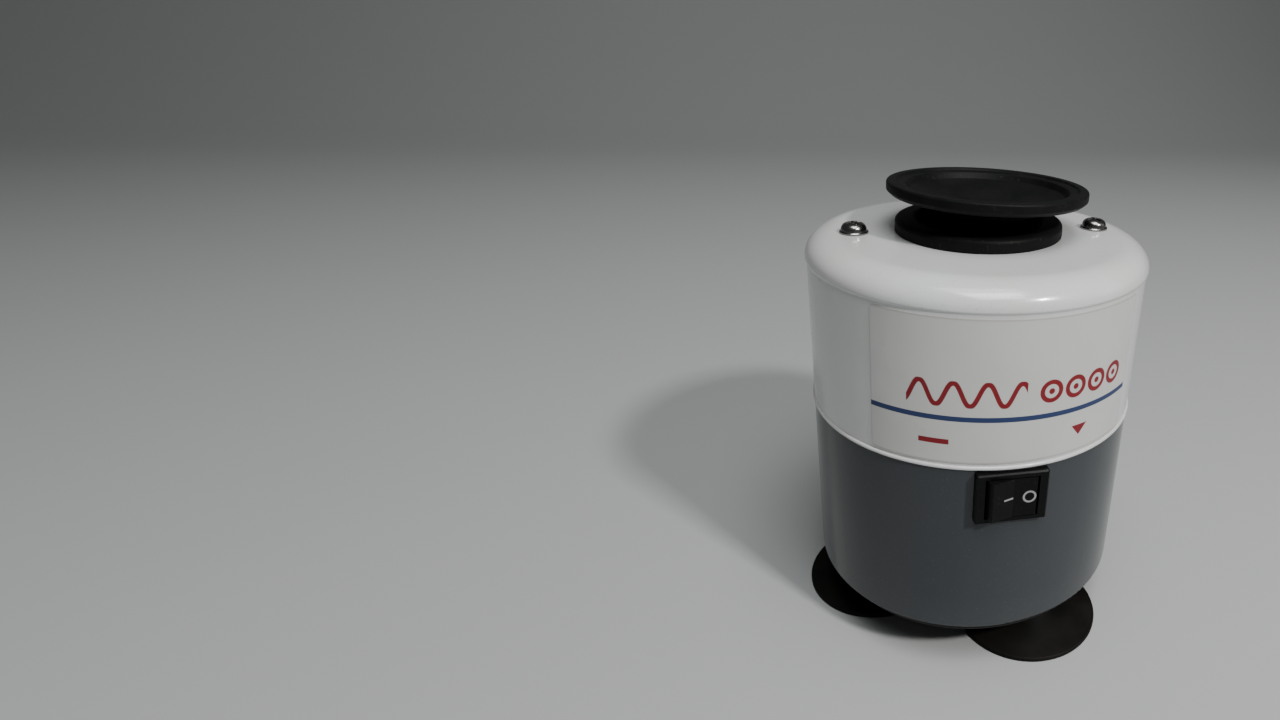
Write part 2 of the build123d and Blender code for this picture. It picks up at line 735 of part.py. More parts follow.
upper_arm_z = upper_deck_z - arm_t
upper_boss_top = upper_boss_z + boss_h
with BuildPart() as upper_bracket:
    with BuildSketch(Plane.XY.offset(stator_top_z)):
        with GridLocations(2 * bolt_xy, 2 * bolt_xy, 2, 2):
            Circle(leg_r)
    extrude(amount=leg_h)
    with BuildSketch(Plane.XY.offset(upper_boss_z)):
        Circle(boss_r)
    extrude(amount=boss_h)
    with BuildSketch(Plane.XY.offset(upper_arm_z)):
        Rectangle(2 * sqrt(2) * bolt_xy, arm_w, rotation=45)
        Rectangle(2 * sqrt(2) * bolt_xy, arm_w, rotation=135)
    extrude(amount=arm_t)
    with BuildSketch(Plane.XY.offset(stator_top_z)):
        with GridLocations(2 * bolt_xy, 2 * bolt_xy, 2, 2):
            Circle(bolt_r + screw_gap)
        Circle(bush_r)
    extrude(amount=upper_boss_top - stator_top_z, mode=Mode.SUBTRACT)
save(upper_bracket, "upper_bracket")

# Sleeve bearings: plain bronze bushes in the two bosses.
for bush_name, bush_z in (("lower_bush", lower_boss_top - boss_h), ("upper_bush", upper_boss_z)):
    with BuildPart() as bush:
        with BuildSketch(Plane.XY.offset(bush_z)):
            Circle(bush_r)
            Circle(shaft_r + run_gap, mode=Mode.SUBTRACT)
        extrude(amount=boss_h)
    save(bush, bush_name)

# Thrust pad: the plastic disc on the motor plate that the shaft's foot stands over.
with BuildPart() as thrust_pad:
    with BuildSketch(Plane.XY.offset(deck_z)):
        Circle(pad_r)
    extrude(amount=pad_t)
save(thrust_pad, "thrust_pad")

# Through bolts and nuts: they clamp plate, brackets and laminations together.
bolt_top = upper_deck_z + nut_h + thread_tail
with BuildPart() as motor_bolts:
    with BuildSketch(Plane.XY.offset(carriage_z)):
        with GridLocations(2 * bolt_xy, 2 * bolt_xy, 2, 2):
            Circle(head_r)
    extrude(amount=-head_h)
    with BuildSketch(Plane.XY.offset(carriage_z)):
        with GridLocations(2 * bolt_xy, 2 * bolt_xy, 2, 2):
            Circle(bolt_r)
    extrude(amount=bolt_top - carriage_z)
save(motor_bolts, "motor_bolts")

with BuildPart() as motor_nuts:
    with BuildSketch(Plane.XY.offset(upper_deck_z)):
        with GridLocations(2 * bolt_xy, 2 * bolt_xy, 2, 2):
            RegularPolygon(nut_r, 6)
            Circle(bolt_r, mode=Mode.SUBTRACT)
    extrude(amount=nut_h)
save(motor_nuts, "motor_nuts")

# ------------------------------------------------------------------ rotor
# Motor shaft: one plain rod from the thrust pad up into the eccentric.
shaft_top = pin_foot_z - shaft_tip_gap
with BuildPart() as motor_shaft:
    with BuildSketch(Plane.XY.offset(shaft_foot_z)):
        Circle(shaft_r)
    extrude(amount=shaft_top - shaft_foot_z)
    shaft_ends = motor_shaft.edges().filter_by(GeomType.CIRCLE)
    chamfer([shaft_ends.sort_by(Axis.Z)[0], shaft_ends.sort_by(Axis.Z)[-1]], edge_break)
save(motor_shaft, "motor_shaft")

with BuildPart() as rotor_core:
    with BuildSketch(Plane.XY.offset(stator_z)):
        Circle(rotor_r)
        Circle(shaft_r, mode=Mode.SUBTRACT)
        with PolarLocations(rotor_bar_circle, rotor_bar_count):
            Circle(rotor_bar_r, mode=Mode.SUBTRACT)
    extrude(amount=stator_h)
save(rotor_core, "rotor_core")

# Rotor cage: two aluminium end rings joined by the bars through the core.
with BuildPart() as rotor_cage:
    for ring_z in (stator_z - cage_ring_t, stator_top_z):
        with BuildSketch(Plane.XY.offset(ring_z)):
            Circle(rotor_r)
            Circle(cage_ring_r, mode=Mode.SUBTRACT)
        extrude(amount=cage_ring_t)
    with BuildSketch(Plane.XY.offset(stator_z)):
        with PolarLocations(rotor_bar_circle, rotor_bar_count):
            Circle(rotor_bar_r)
    extrude(amount=stator_h)
save(rotor_cage, "rotor_cage")

# Cooling fan: a disc with a hub and straight blades above it.
with BuildPart() as cooling_fan:
    with BuildSketch(Plane.XY.offset(fan_z)):
        Circle(fan_r)
        Circle(shaft_r, mode=Mode.SUBTRACT)
    extrude(amount=fan_disc_t)
    with BuildSketch(Plane.XY.offset(fan_z + fan_disc_t)):
        Circle(fan_hub_r)
        with PolarLocations((fan_r + fan_hub_r) / 2 - fan_blade_t, fan_blades):
            Rectangle(fan_r - fan_hub_r, fan_blade_t)
        Circle(shaft_r, mode=Mode.SUBTRACT)
    extrude(amount=fan_h - fan_disc_t)
save(cooling_fan, "cooling_fan")

# Eccentric: hub on the shaft, crank pin hole off centre, counterweight on the other side.
with BuildPart() as eccentric:
    with BuildSketch(Plane.XY.offset(ecc_z)):
        Circle(ecc_hub_r)
    extrude(amount=ecc_hub_h)
    with BuildSketch(Plane.XY.offset(ecc_z)):
        with BuildLine():
            swing = CenterArc((0, 0), weight_r, 180 - weight_half_angle, 2 * weight_half_angle)
            Line(swing @ 1, (0, 0))
            Line((0, 0), swing @ 0)
        make_face()
    extrude(amount=weight_h)
    with BuildSketch(Plane.XY.offset(ecc_z)):
        Circle(shaft_r)
    extrude(amount=shaft_top - ecc_z, mode=Mode.SUBTRACT)
    with BuildSketch(Plane.XY.offset(pin_foot_z)):
        with Locations((orbit, 0)):
            Circle(pin_r)
    extrude(amount=pin_seat, mode=Mode.SUBTRACT)
    with BuildSketch(Plane(origin=(0, 0, ecc_z + weight_h / 4), x_dir=(0, 1, 0), z_dir=(1, 0, 0))):
        Circle(setscrew_r)
    extrude(amount=2 * ecc_hub_r, mode=Mode.SUBTRACT)
save(eccentric, "eccentric")

with BuildPart() as set_screw:
    with BuildSketch(Plane(origin=(shaft_r, 0, ecc_z + weight_h / 4), x_dir=(0, 1, 0), z_dir=(1, 0, 0))):
        Circle(setscrew_r)
    extrude(amount=ecc_hub_r - shaft_r - setscrew_sink)
    flat_end = Plane(origin=(ecc_hub_r - setscrew_sink, 0, ecc_z + weight_h / 4), x_dir=(0, 1, 0), z_dir=(1, 0, 0))
    with BuildSketch(flat_end):
        RegularPolygon(setscrew_r * 0.55, 6)
    extrude(amount=-setscrew_hex_d, mode=Mode.SUBTRACT)
save(set_screw, "set_screw")

# Crank pin: stands in the eccentric and carries the inner race of the head bearing.
with BuildPart() as crank_pin:
    with BuildSketch(Plane.XY.offset(pin_foot_z)):
        with Locations((orbit, 0)):
            Circle(pin_r)
    extrude(amount=bearing_top + pin_proud - pin_foot_z)
    chamfer(crank_pin.edges().filter_by(GeomType.CIRCLE).sort_by(Axis.Z)[-1], edge_break)
    with BuildSketch(Plane.XY.offset(bearing_top)):
        with Locations((orbit, 0)):
            Circle(pin_r)
            Circle(pin_r - clip_groove_d, mode=Mode.SUBTRACT)
    extrude(amount=clip_t, mode=Mode.SUBTRACT)
save(crank_pin, "crank_pin")

with BuildPart() as bearing_spacer:
    with BuildSketch(Plane.XY.offset(ecc_top)):
        with Locations((orbit, 0)):
            Circle(race_inner_rim - race_shoulder)
            Circle(pin_r, mode=Mode.SUBTRACT)
    extrude(amount=ecc_gap)
save(bearing_spacer, "bearing_spacer")

with BuildPart() as pin_clip:
    with BuildSketch(Plane.XY.offset(bearing_top)):
        with Locations((orbit, 0)):
            Circle(race_inner_rim - race_shoulder / 2)
            Circle(pin_r - clip_groove_d, mode=Mode.SUBTRACT)
        with Locations((orbit - race_inner_rim, 0)):
            Rectangle(race_inner_rim, 2 * (pin_r - clip_groove_d) * 0.8, mode=Mode.SUBTRACT)
    extrude(amount=clip_t)
save(pin_clip, "pin_clip")

# ------------------------------------------------------------------ head bearing
pitch_r = (race_inner_rim + race_outer_rim) / 2
bearing_mid = bearing_z + race_w / 2
groove_r = ball_r + ball_gap
race_sizes = {"bearing_inner_race": (pin_r, race_inner_rim), "bearing_outer_race": (race_outer_rim, race_out_r)}
for race_name, (race_in, race_out) in race_sizes.items():
    with BuildPart() as race:
        with BuildSketch(pin_axis):
            with Locations(((race_in + race_out) / 2, bearing_mid)):
                Rectangle(race_out - race_in, race_w)
            with Locations((pitch_r, bearing_mid)):
                Circle(groove_r, mode=Mode.SUBTRACT)
        revolve(axis=crank_axis)
    save(race, race_name)

with BuildPart() as bearing_balls:
    with Locations((orbit, 0, bearing_mid)):
        with PolarLocations(pitch_r, ball_count):
            Sphere(ball_r)
save(bearing_balls, "bearing_balls")

with BuildPart() as ball_cage:
    with BuildSketch(Plane.XY.offset(bearing_mid - cage_low)):
        with Locations((orbit, 0)):
            Circle(pitch_r + cage_w / 2)
            Circle(pitch_r - cage_w / 2, mode=Mode.SUBTRACT)
    extrude(amount=cage_low + cage_high)
    with Locations((orbit, 0, bearing_mid)):
        with PolarLocations(pitch_r, ball_count):
            Sphere(ball_r + 2 * ball_gap, mode=Mode.SUBTRACT)
save(ball_cage, "ball_cage")

# ------------------------------------------------------------------ mixing head
# Head hub: bearing housing below, collar, and a leaning peg for the cup above.
with BuildPart() as head_hub:
    with BuildSketch(pin_axis):
        with BuildLine():
            Polyline(
                (race_out_r, housing_z),
                (hub_r, housing_z),
                (hub_r, collar_z),
                (hub_collar_r, collar_z),
                (hub_collar_r, pivot_z),
                (0, pivot_z),
                (0, bearing_top + pin_proud + hub_roof_gap),
                (race_outer_rim - race_land, bearing_top + pin_proud + hub_roof_gap),
                (race_outer_rim - race_land, bearing_top),
                (race_out_r, bearing_top),
                close=True,
            )
        make_face()
    revolve(axis=crank_axis)
    with BuildSketch(cup_seat.offset(-hub_collar_h)):
        Circle(spigot_r)
    extrude(amount=hub_collar_h + spigot_top)
save(head_hub, "head_hub")

# Splash skirt: thin disc below the opening, clamped under the hub's collar.
with BuildPart() as splash_skirt:
    with BuildSketch(Plane.XY.offset(skirt_z)):
        with Locations((orbit, 0)):
            Circle(skirt_r)
            Circle(hub_r, mode=Mode.SUBTRACT)
    extrude(amount=skirt_t)
save(splash_skirt, "splash_skirt")

# Rubber cup: stem, flange, conical underside, rounded rim and a shallow bowl.
rim_z = rim_local
flange_z = rim_z - cup_flange_d
bowl_sag = cup_bowl_d - cup_step_d
bowl_arc_r = (cup_step_r**2 + bowl_sag**2) / (2 * bowl_sag)
with BuildPart() as rubber_cup:
    with BuildSketch(cup_section):
        with BuildLine():
            Polyline(
                (spigot_r, neck_foot),
                (neck_r, neck_foot),
                (neck_r, flange_z),
                (cup_flange_r, flange_z),
                (cup_flange_r, flange_z + cup_flange_t),
                (cup_r - cup_chamfer, rim_z - cup_rim_h),
                (cup_r, rim_z - cup_rim_h + cup_chamfer),
                (cup_r, rim_z),
                (cup_r - cup_rim_w, rim_z),
                (cup_r - cup_rim_w - cup_groove_w, rim_z - cup_groove_d),
                (cup_step_r + cup_wall_w, rim_z - cup_groove_d - cup_band_fall),
                (cup_step_r, rim_z - cup_step_d),
            )
            RadiusArc((cup_step_r, rim_z - cup_step_d), (0, rim_z - cup_bowl_d), bowl_arc_r)
            Polyline((0, rim_z - cup_bowl_d), (0, spigot_top), (spigot_r, spigot_top), (spigot_r, neck_foot))
        make_face()
    revolve(axis=cup_axis)
    top_rims = rubber_cup.edges().filter_by(GeomType.CIRCLE).sort_by(cup_axis)[-2:].sort_by(SortBy.RADIUS)
    fillet(top_rims[-1], cup_edge_r)
    fillet(top_rims[0], cup_edge_r * 0.5)
save(rubber_cup, "rubber_cup")

# ------------------------------------------------------------------ rocker switch
# Housing: flat bezel on the curved shell, and a box behind it for the rocker and contacts.
housing_w = rocker_w + 2 * housing_wall
housing_h = rocker_h + 2 * housing_wall
with BuildPart() as switch_housing:
    with BuildSketch(switch_plane):
        RectangleRounded(switch_w, switch_h, switch_corner)
    extrude(amount=-(switch_proud + bezel_depth))
    chamfer(switch_housing.faces().sort_by(Axis.Y)[0].outer_wire().edges(), edge_break)
    with BuildSketch(Plane.XY.offset(switch_z - switch_h)):
        Circle(body_r)
    extrude(amount=2 * switch_h, mode=Mode.SUBTRACT)
    with BuildSketch(switch_plane):
        Rectangle(housing_w, housing_h)
    extrude(amount=-housing_depth)
    with BuildSketch(switch_plane):
        Rectangle(rocker_w, rocker_h)
    extrude(amount=-housing_cavity, mode=Mode.SUBTRACT)
    with BuildSketch(switch_plane.offset(-housing_depth)):
        for blade in (-1, 0, 1):
            with Locations((blade * blade_pitch, 0)):
                Rectangle(blade_t, blade_w)
    extrude(amount=housing_depth - housing_cavity, mode=Mode.SUBTRACT)
    with BuildSketch(Plane(origin=(0, switch_face + rocker_pivot, switch_z - housing_h / 2 + pin_end_gap))):
        Circle(rocker_pin_r)
    extrude(amount=housing_h - 2 * pin_end_gap, mode=Mode.SUBTRACT)
save(switch_housing, "switch_housing")

# Rocker: two facets that meet at a shallow valley, ends rounded about the pivot.  It is drawn
# half way between its positions and turned to the one where its right side is pressed in.
rocker_reach = rocker_w / 2 - rocker_gap
facet = radians(rocker_swing / 2)
end_angle = radians(28)
corner_x = rocker_reach * cos(end_angle)
corner_y = rocker_reach * sin(end_angle)
valley_y = corner_y - corner_x * tan(facet)
belly_x = sqrt(rocker_reach**2 - rocker_belly**2)
rocker_plane = Plane(
    origin=(0, switch_face + rocker_pivot, switch_z - rocker_h / 2 + rocker_gap),
    x_dir=(cos(facet), sin(facet), 0),
    z_dir=(0, 0, 1),
)
with BuildPart() as rocker:
    with BuildSketch(rocker_plane):
        with BuildLine():
            Polyline((-corner_x, -corner_y), (0, -valley_y), (corner_x, -corner_y))
            RadiusArc((corner_x, -corner_y), (belly_x, rocker_belly), -rocker_reach)
            Line((belly_x, rocker_belly), (-belly_x, rocker_belly))
            RadiusArc((-belly_x, rocker_belly), (-corner_x, -corner_y), -rocker_reach)
        make_face()
        Circle(rocker_hub_r)
        Circle(rocker_pin_r + run_gap, mode=Mode.SUBTRACT)
    extrude(amount=rocker_h - 2 * rocker_gap)
save(rocker, "rocker")

with BuildPart() as rocker_pin:
    with BuildSketch(Plane(origin=(0, switch_face + rocker_pivot, switch_z - housing_h / 2 + pin_end_gap))):
        Circle(rocker_pin_r)
    extrude(amount=housing_h - 2 * pin_end_gap)
save(rocker_pin, "rocker_pin")

with BuildPart() as switch_blades:
    with BuildSketch(switch_plane.offset(-housing_cavity)):
        for blade in (-1, 0, 1):
            with Locations((blade * blade_pitch, 0)):
                Rectangle(blade_t, blade_w)
    extrude(amount=-(housing_depth - housing_cavity + blade_len))
save(switch_blades, "switch_blades")

# ------------------------------------------------------------------ touch-mode microswitch
plunger_top = carriage_z - plunger_gap
micro_top = plunger_top - press_travel - plunger_reserve
micro_z = micro_top - micro_h
with BuildPart() as microswitch:
    with BuildSketch(Plane.XY.offset(micro_z)):
        with Locations((0, micro_y)):
            Rectangle(micro_l, micro_t)
    extrude(amount=micro_h)
    with BuildSketch(Plane.XY.offset(micro_top)):
        with Locations((0, micro_y)):
            Circle(plunger_r + plunger_guide)
    extrude(amount=-(press_travel + plunger_well), mode=Mode.SUBTRACT)
save(microswitch, "microswitch")

with BuildPart() as switch_plunger:
    with BuildSketch(Plane.XY.offset(micro_top - plunger_root)):
        with Locations((0, micro_y)):
            Circle(plunger_r)
    extrude(amount=plunger_top - micro_top + plunger_root)
    fillet(switch_plunger.edges().filter_by(GeomType.CIRCLE).sort_by(Axis.Z)[-1], plunger_tip_r)
save(switch_plunger, "switch_plunger")

# Bracket: an angle that stands on the base plate and holds the microswitch against its upright.
with BuildPart() as switch_bracket:
    with BuildSketch(Plane.XY.offset(shell_z)):
        with Locations((0, micro_y + micro_t / 2 + micro_bracket_foot / 2)):
            Rectangle(micro_l, micro_bracket_foot)
    extrude(amount=micro_bracket_t)
    with BuildSketch(Plane.XY.offset(shell_z)):
        with Locations((0, micro_y + micro_t / 2 + micro_bracket_t / 2)):
            Rectangle(micro_l, micro_bracket_t)
    extrude(amount=micro_top - shell_z)
save(switch_bracket, "switch_bracket")

# ------------------------------------------------------------------ electrical pieces
cap_z = shell_z + cap_r + strap_t
with BuildPart() as capacitor:
    with BuildSketch(Plane(origin=(-cap_l / 2, cap_y, cap_z), x_dir=(0, 1, 0), z_dir=(1, 0, 0))):
        Circle(cap_r)
    extrude(amount=cap_l)
    fillet(capacitor.edges().filter_by(GeomType.CIRCLE), cap_edge_r)
save(capacitor, "capacitor")

# Capacitor strap: a band round the can whose two feet lie on the base plate.
with BuildPart() as capacitor_strap:
    with BuildSketch(Plane(origin=(-strap_w / 2, cap_y, cap_z), x_dir=(0, 1, 0), z_dir=(1, 0, 0))):
        Circle(cap_r + strap_t)
        with Locations((0, -cap_r - strap_t / 2)):
            Rectangle(2 * (cap_r + strap_foot), strap_t)
        Circle(cap_r, mode=Mode.SUBTRACT)
    extrude(amount=strap_w)
save(capacitor_strap, "capacitor_strap")

with BuildPart() as terminal_block:
    with BuildSketch(Plane.XY.offset(shell_z)):
        with Locations(block_at):
            Rectangle(block_l, block_w)
    extrude(amount=block_h)
    with BuildSketch(Plane.XY.offset(shell_z + block_h)):
        with Locations(block_at):
            with GridLocations(block_l / block_ways, 0, block_ways, 1):
                Circle(block_way_r)
    extrude(amount=-block_screw_d, mode=Mode.SUBTRACT)
save(terminal_block, "terminal_block")

# ------------------------------------------------------------------ cable gland
with BuildPart() as cable_gland:
    with BuildSketch(gland_plane):
        Circle(gland_flange_r)
    extrude(amount=gland_flange_t)
    with BuildSketch(gland_plane.offset(gland_flange_t)):
        Circle(gland_nose_r)
    extrude(amount=gland_nose)
    fillet(cable_gland.edges().filter_by(GeomType.CIRCLE).sort_by(Axis.Y)[-1], gland_edge_r)
    with BuildSketch(gland_plane):
        Circle(gland_r)
    extrude(amount=-gland_in)
    with BuildSketch(gland_plane.offset(-gland_in)):
        Circle(gland_bore_r)
    extrude(amount=gland_in + gland_flange_t + gland_nose, mode=Mode.SUBTRACT)
save(cable_gland, "cable_gland")

# Gland nut: clamps the shell's wall from inside.
nut_back = sqrt(inner_r**2 - gland_nut_r**2)
with BuildPart() as gland_nut:
    with BuildSketch(Plane(origin=(0, nut_back, gland_z), x_dir=(-1, 0, 0), z_dir=(0, 1, 0))):
        RegularPolygon(gland_nut_r, 6)
        Circle(gland_r, mode=Mode.SUBTRACT)
    extrude(amount=-gland_nut_t)
save(gland_nut, "gland_nut")
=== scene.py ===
"""Looks of a bench vortex mixer: enamelled casing, printed label, rubber cup, collar and feet.

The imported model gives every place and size; the pieces below add smooth surfaces and finishes.
"""

import json
import math

import bmesh
import bpy
import numpy as np
from mathutils import Matrix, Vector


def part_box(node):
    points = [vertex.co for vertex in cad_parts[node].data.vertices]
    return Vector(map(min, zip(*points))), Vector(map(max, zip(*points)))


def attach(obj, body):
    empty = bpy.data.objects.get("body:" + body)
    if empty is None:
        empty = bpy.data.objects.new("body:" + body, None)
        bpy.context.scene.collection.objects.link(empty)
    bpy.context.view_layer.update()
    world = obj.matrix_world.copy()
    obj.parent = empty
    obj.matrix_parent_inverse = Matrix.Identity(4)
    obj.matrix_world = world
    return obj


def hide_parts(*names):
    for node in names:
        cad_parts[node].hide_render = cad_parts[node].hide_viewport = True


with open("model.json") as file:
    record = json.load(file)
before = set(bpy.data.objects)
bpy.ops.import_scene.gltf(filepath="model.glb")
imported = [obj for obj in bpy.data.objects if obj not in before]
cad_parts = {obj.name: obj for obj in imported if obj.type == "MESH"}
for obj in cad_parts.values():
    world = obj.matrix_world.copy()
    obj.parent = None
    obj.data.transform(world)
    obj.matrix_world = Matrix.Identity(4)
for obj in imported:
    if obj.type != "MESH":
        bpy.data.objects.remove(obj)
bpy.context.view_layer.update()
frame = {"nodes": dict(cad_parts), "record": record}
nodes = frame["nodes"]
mm = 0.001
weld_gap = 2e-6
sharp_angle = math.radians(38)

# ---------------------------------------------------------------- camera
# A short lens held close, a little left of the front, looking 26 degrees down and rolled a
# little.  The lens is shifted sideways because the mixer stands off centre.
camera_heading = math.radians(-14.0)
camera_reach, camera_height = 265.5 * mm, 232.0 * mm
camera_pitch, camera_roll = math.radians(25.74), math.radians(2.69)
level_right = np.array([math.cos(camera_heading), math.sin(camera_heading), 0])
level_ahead = np.array([-math.sin(camera_heading), math.cos(camera_heading), 0])
ahead = math.cos(camera_pitch) * level_ahead - math.sin(camera_pitch) * np.array([0, 0, 1])
level_up = np.cross(level_right, ahead)
right = math.cos(camera_roll) * level_right + math.sin(camera_roll) * level_up
up = math.cos(camera_roll) * level_up - math.sin(camera_roll) * level_right
place = camera_height * np.array([0, 0, 1]) - camera_reach * level_ahead
camera_data = bpy.data.cameras.new("camera")
camera_data.lens, camera_data.sensor_width = 19.73, 36
camera_data.shift_x, camera_data.shift_y = -0.2593, 0.0043
camera_data.clip_start = 0.01
camera = bpy.data.objects.new("camera", camera_data)
camera_turn = Matrix(np.column_stack([right, up, -ahead]).tolist()).to_4x4()
camera.matrix_world = Matrix.Translation(place) @ camera_turn
bpy.context.collection.objects.link(camera)
bpy.context.scene.camera = camera


# ---------------------------------------------------------------- upper cover
# Drawn steel cover in white stoved enamel: a rolled hem, straight wall, a crease under the
# bulging shoulder and a flat top with one round opening.  It drops over the shell's neck.
class Value:
    """A shader socket that can be added, multiplied and so on; each operation adds a Math node."""

    tree = None

    def __init__(self, socket):
        self.socket = socket

    @classmethod
    def node(cls, kind, inputs=(), output=0, **settings):
        """Adds a node of that kind, applies its settings, then fills its sockets by name or place."""
        made = cls.tree.nodes.new(kind)
        for key, value in settings.items():
            setattr(made, key, value)
        for key, value in dict(inputs).items():
            cls.fill(made.inputs[key], value)
        return cls(made.outputs[output])

    @classmethod
    def fill(cls, socket, value):
        """Links a Value to the socket, or sets a constant; a colour of three gets its alpha."""
        if isinstance(value, Value):
            cls.tree.links.new(value.socket, socket)
        elif isinstance(value, tuple) and len(value) == 3 and socket.type == "RGBA":
            socket.default_value = (*value, 1)
        else:
            socket.default_value = value

    def math(self, operation, *others, clamp=False):
        """The result of a Math node on this value and the others."""
        inputs = enumerate((self, *others))
        return Value.node("ShaderNodeMath", inputs, operation=operation, use_clamp=clamp)

    def __add__(self, other):
        return self.math("ADD", other)

    def __sub__(self, other):
        return self.math("SUBTRACT", other)

    def __mul__(self, other):
        return self.math("MULTIPLY", other)

    def __rsub__(self, other):
        return Value.node("ShaderNodeMath", {0: other, 1: self}, operation="SUBTRACT")

    __radd__, __rmul__ = __add__, __mul__

    def within(self, low, high, edge):
        """1 between low and high, 0 outside, with an edge of that width."""
        rise = self.math("SUBTRACT", low - edge / 2).math("DIVIDE", edge, clamp=True)
        fall = Value.node("ShaderNodeMath", {0: high + edge / 2, 1: self}, operation="SUBTRACT")
        return rise * fall.math("DIVIDE", edge, clamp=True)


def blend_colours(factor, first, second):
    """First colour where factor is 0, second where it is 1."""
    return Value.node("ShaderNodeMix", {0: factor, 6: first, 7: second}, output=2, data_type="RGBA")


def noise(scale, detail=3.0, stretch=(1, 1, 1)):
    """Noise in object coordinates, scale in cycles per metre, stretched along each axis."""
    where = Value.node("ShaderNodeTexCoord", output=3)
    where = Value.node("ShaderNodeMapping", {0: where, 3: tuple(float(s) for s in stretch)})
    return Value.node("ShaderNodeTexNoise", {"Vector": where, "Scale": scale, "Detail": detail})


def place_along(axis):
    """The object coordinate along X, Y or Z, in millimetres."""
    where = Value.node("ShaderNodeTexCoord", output=3)
    return Value.node("ShaderNodeSeparateXYZ", {0: where}, output="XYZ".index(axis)) * (1 / mm)


def material(name, build, **fixed):
    """A new material: build() returns the inputs that vary, fixed holds those that don't."""
    made = bpy.data.materials.new(name)
    made.use_nodes = True
    Value.tree = made.node_tree
    shader = made.node_tree.nodes["Principled BSDF"]
    for key, value in fixed.items():
        Value.fill(shader.inputs[key.replace("_", " ")], value)
    for key, value in build().items():
        Value.fill(shader.inputs[key], value)
    return made


def bump(height, strength, depth):
    """A normal from a height that varies from 0 to 1, depth in millimetres."""
    inputs = {"Height": height, "Strength": strength, "Distance": depth * mm}
    return Value.node("ShaderNodeBump", inputs)


def rounded(corners, steps=8):
    """A closed outline from (x, y, radius) corners in millimetres: each corner is replaced by an
    arc of its radius that is tangent to both sides, as points spaced evenly along its turn."""
    xy = np.array([c[:2] for c in corners], float)
    radii = np.array([c[2] for c in corners], float)
    before = np.roll(xy, 1, 0) - xy
    after = np.roll(xy, -1, 0) - xy
    before /= np.linalg.norm(before, axis=1)[:, None]
    after /= np.linalg.norm(after, axis=1)[:, None]
    half = np.arccos(np.clip((before * after).sum(1), -1, 1)) / 2
    reach = radii / np.tan(half)
    start, end = xy + before * reach[:, None], xy + after * reach[:, None]
    inward = (before + after) / np.linalg.norm(before + after, axis=1)[:, None]
    middle = xy + inward * (radii / np.sin(half))[:, None]
    t = np.linspace(0, 1, steps)[None, :, None]
    spread = (start[:, None] - middle[:, None]) * (1 - t) + (end[:, None] - middle[:, None]) * t
    spread /= np.maximum(np.linalg.norm(spread, axis=2), 1e-9)[:, :, None]
    points = middle[:, None] + spread * radii[:, None, None]
    return points.reshape(-1, 2)


def finish_mesh(name, points, faces):
    """An object from points in metres and faces, doubles merged and normals turned outwards."""
    mesh = bpy.data.meshes.new(name)
    mesh.from_pydata(points.tolist(), [], faces.tolist())
    piece = bpy.data.objects.new(name, mesh)
    bpy.context.collection.objects.link(piece)
    work = bmesh.new()
    work.from_mesh(mesh)
    bmesh.ops.remove_doubles(work, verts=work.verts, dist=weld_gap)
    bmesh.ops.recalc_face_normals(work, faces=work.faces)
    work.to_mesh(mesh)
    work.free()
    mesh.polygons.foreach_set("use_smooth", [True] * len(mesh.polygons))
    mesh.set_sharp_from_angle(angle=sharp_angle)
    return piece


def turned(outline, centre=(0, 0, 0), tilt=None, turns=192, carve=None):
    """Points and quads of a solid of revolution: each outline point (r, z) in millimetres goes to
    centre + r (cos a, sin a, 0) + z (0, 0, 1), lowered by carve(x, y, z) and turned by tilt."""
    angle = np.arange(turns) * 2 * math.pi / turns
    r, z = outline[:, 0], outline[:, 1]
    across, along = r * np.cos(angle)[:, None], r * np.sin(angle)[:, None]
    points = np.stack([across, along, z + 0 * angle[:, None]], -1)
    if carve is not None:
        points[..., 2] -= carve(points[..., 0], points[..., 1], points[..., 2])
    if tilt is not None:
        points = points @ np.array(tilt).T
    points = (points + np.array(centre)).reshape(-1, 3) * mm
    i, j = np.meshgrid(np.arange(turns), np.arange(len(outline)), indexing="ij")
    steps = ((0, 0), (1, 0), (1, 1), (0, 1))
    corners = [((i + a) % turns) * len(outline) + (j + b) % len(outline) for a, b in steps]
    return points, np.stack(corners, -1).reshape(-1, 4)


def revolved(name, outline, centre=(0, 0, 0), tilt=None, turns=192):
    """One object made by turning an outline round the axis."""
    return finish_mesh(name, *turned(outline, centre, tilt, turns))


def dress(piece, finish, body, slot, *stands_for):
    """Gives a new piece its material and body, and hides the nodes it stands for; slot is not used.
    """
    piece.data.materials.append(finish)
    if stands_for:
        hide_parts(*stands_for)
    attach(piece, body)
    return piece


low, high = (np.array(c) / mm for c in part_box("upper_cover"))
seam, top = low[2], high[2]
bead, bead_proud, wall = 0.8, 0.7, 1.5
body_r = high[0] - bead_proud
shoulder_w, shoulder_h, bulge = 11.6, 8.2, 0.6
shoulder_x, shoulder_z = body_r + bulge - shoulder_w, top - shoulder_h
opening_r, opening_edge = 24.4, 0.4
quarter = np.linspace(0, math.pi / 2, 28)


def quarter_ellipse(width, height):
    """A quarter of an ellipse about the shoulder's centre, from the wall up to the flat top."""
    across, upward = width * np.cos(quarter), height * np.sin(quarter)
    return np.stack([shoulder_x + across, shoulder_z + upward], 1)


